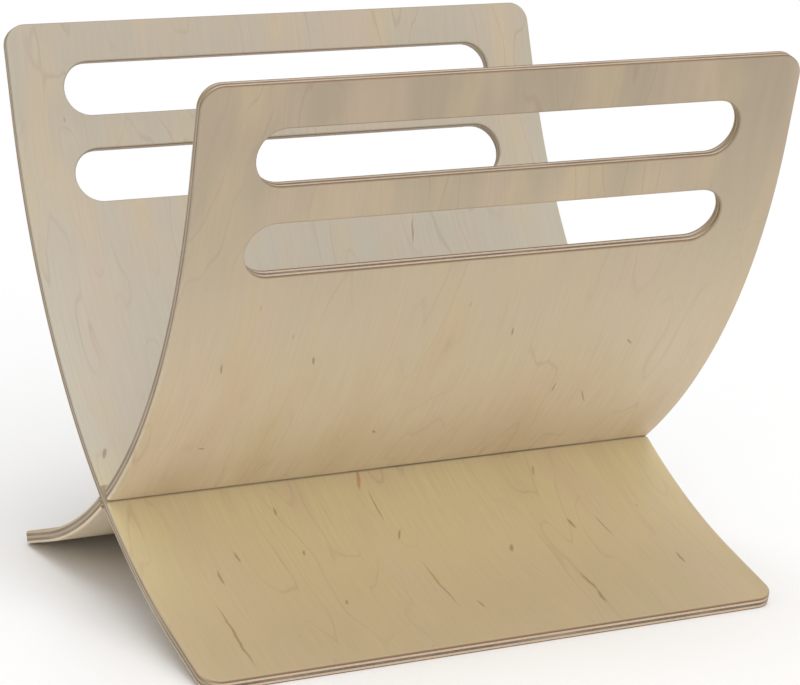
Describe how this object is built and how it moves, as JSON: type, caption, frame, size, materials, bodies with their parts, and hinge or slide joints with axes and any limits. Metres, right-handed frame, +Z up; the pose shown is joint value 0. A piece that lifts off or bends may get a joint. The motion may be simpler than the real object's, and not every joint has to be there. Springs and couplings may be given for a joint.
{
  "type": "magazine rack",
  "caption": "Free-standing magazine rack of bent plywood sheets that cross in a halving joint, with an open V trough and rounded hand slots near the top edges.",
  "frame": {"origin": "centre of the footprint, on the floor", "axes": "+X along the rack, parallel to the crossing line; +Y to the rear; +Z up"},
  "size_m": [0.37, 0.3484, 0.3365],
  "materials": {
    "face_veneer": "clear satin lacquer over sanded birch face veneer",
    "cross_ply": "sanded and lacquered veneer edge",
    "core_ply": "sanded and lacquered veneer edge"
  },
  "bodies": {
    "root": {"rear_panel_inner_veneer": "face_veneer", "rear_panel_inner_cross_ply": "cross_ply", "rear_panel_core_ply": "core_ply", "rear_panel_outer_cross_ply": "cross_ply", "rear_panel_outer_veneer": "face_veneer", "front_panel_inner_veneer": "face_veneer", "front_panel_inner_cross_ply": "cross_ply", "front_panel_core_ply": "core_ply", "front_panel_outer_cross_ply": "cross_ply", "front_panel_outer_veneer": "face_veneer"}
  },
  "joints": []
}
